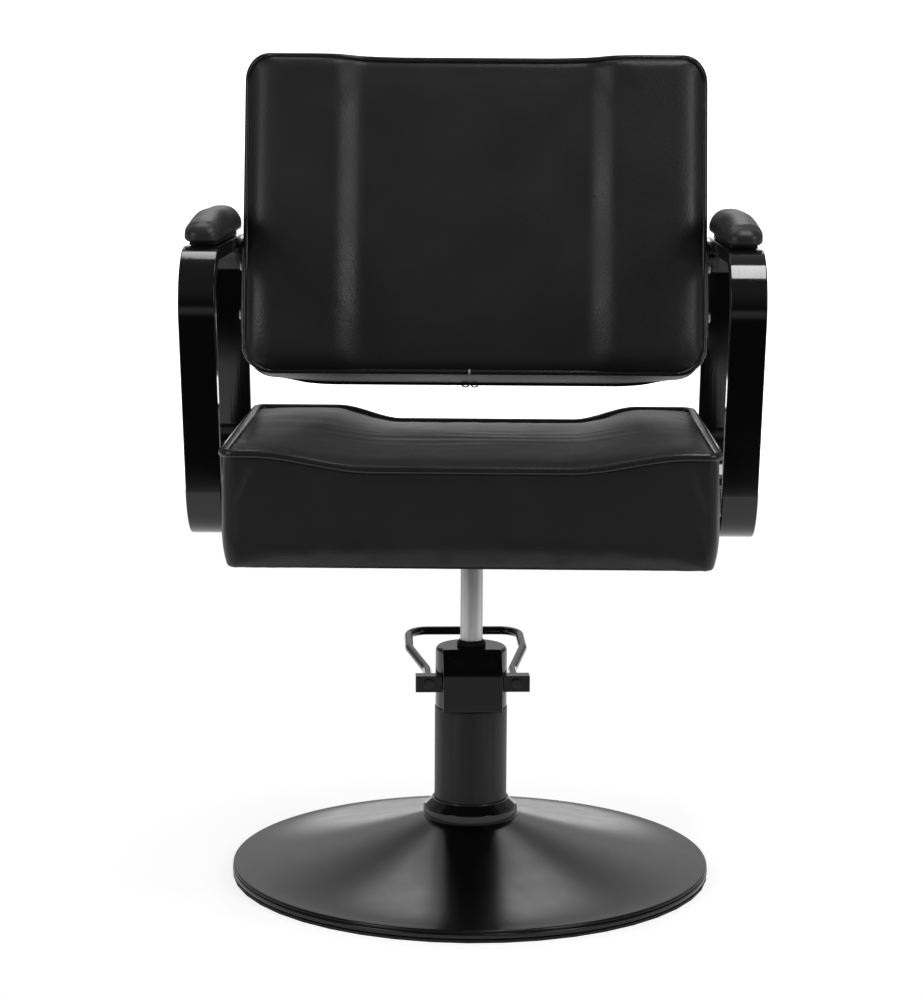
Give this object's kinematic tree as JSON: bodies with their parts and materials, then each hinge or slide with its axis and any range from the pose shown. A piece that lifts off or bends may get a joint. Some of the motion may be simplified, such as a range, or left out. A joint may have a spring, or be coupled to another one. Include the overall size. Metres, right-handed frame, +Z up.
{
  "type": "hairdressing chair",
  "caption": "Black upholstered hairdressing chair with looped strip arms and leaning backrest on a swivelling hydraulic pump with a foot bail lever and a round trumpet base.",
  "frame": {"origin": "on the floor, on the axis of the pump, at the middle of the base plate's underside", "axes": "+Z up the pump's axis, -Y the way the sitter faces, +X towards the sitter's left hand"},
  "size_m": [0.6396, 0.56, 0.9533],
  "materials": {
    "satin_black_paint": "satin black paint",
    "gloss_black_enamel": "gloss black enamel",
    "painted_casting": "semi-gloss black paint on a casting",
    "ground_steel": "ground bright steel",
    "plain_steel": "plain turned steel",
    "bronze": "sintered bronze",
    "black_rubber": "matt black rubber",
    "plywood": "raw birch plywood",
    "leatherette": "black leatherette with a fine grain and a soft sheen"
  },
  "bodies": {
    "base": {"base_dish": "satin_black_paint", "rim_seal": "black_rubber", "base_plate": "plain_steel", "foot_bolt_1": "plain_steel", "foot_bolt_2": "plain_steel", "foot_bolt_3": "plain_steel", "base_collar": "gloss_black_enamel", "outer_tube": "satin_black_paint", "inner_barrel": "plain_steel", "pump_head": "painted_casting", "rod_guide": "bronze", "rod_wiper": "black_rubber", "shaft_bush_left": "bronze", "shaft_bush_right": "bronze", "plunger_spring": "plain_steel"},
    "lift": {"piston": "plain_steel", "piston_seal": "black_rubber", "thrust_washer": "bronze"},
    "seat": {"piston_rod": "ground_steel", "rod_hub": "satin_black_paint", "mount_plate": "satin_black_paint", "mount_bolt_1": "plain_steel", "mount_bolt_2": "plain_steel", "mount_bolt_3": "plain_steel", "mount_bolt_4": "plain_steel", "seat_frame": "plywood", "seat_cushion": "leatherette", "seat_piping": "leatherette", "arm_loop_left": "gloss_black_enamel", "arm_loop_right": "gloss_black_enamel", "pad_base_left": "satin_black_paint", "pad_base_right": "satin_black_paint", "arm_pad_left": "leatherette", "arm_pad_right": "leatherette", "pad_screw_left_front": "plain_steel", "pad_screw_left_back": "plain_steel", "pad_screw_right_front": "plain_steel", "pad_screw_right_back": "plain_steel", "arm_stud_left_front": "plain_steel", "arm_stud_left_back": "plain_steel", "arm_stud_right_front": "plain_steel", "arm_stud_right_back": "plain_steel", "back_cushion": "leatherette", "back_board": "plywood", "back_rear_panel": "leatherette", "back_piping_front": "leatherette", "back_piping_rear": "leatherette", "back_bracket_left": "satin_black_paint", "back_bracket_right": "satin_black_paint", "back_bolt_left_low": "plain_steel", "back_bolt_left_high": "plain_steel", "back_bolt_right_low": "plain_steel", "back_bolt_right_high": "plain_steel"},
    "lever": {"cross_shaft": "plain_steel", "lever_ear_left": "gloss_black_enamel", "lever_ear_right": "gloss_black_enamel", "lever_screw_left": "plain_steel", "lever_screw_right": "plain_steel", "foot_lever": "gloss_black_enamel"},
    "plunger": {"pump_plunger": "plain_steel"}
  },
  "joints": [
    {"name": "seat_lift", "type": "slide", "parent": "base", "child": "lift", "axis": [0, 0, 1], "range_m": [-0.09, 0.05]},
    {"name": "seat_swivel", "type": "hinge", "parent": "lift", "child": "seat", "pos_m": [0, 0, 0.138], "axis": [0, 0, 1], "continuous": true},
    {"name": "foot_lever_pivot", "type": "hinge", "parent": "base", "child": "lever", "pos_m": [0.0019, -0.03194, 0.2325], "axis": [0.9982, 0.0593, 0], "range_deg": [-28, 0], "stiffness_Nm_per_rad": 12, "springref_deg": 6.88},
    {"name": "plunger_stroke", "type": "slide", "parent": "base", "child": "plunger", "axis": [0, 0, 1], "range_m": [-0.0025, 0], "deforming": ["plunger_spring"]}
  ],
  "couplings": [
    {"joint": "plunger_stroke", "follows": "foot_lever_pivot", "m_per_rad": 0.0049}
  ]
}
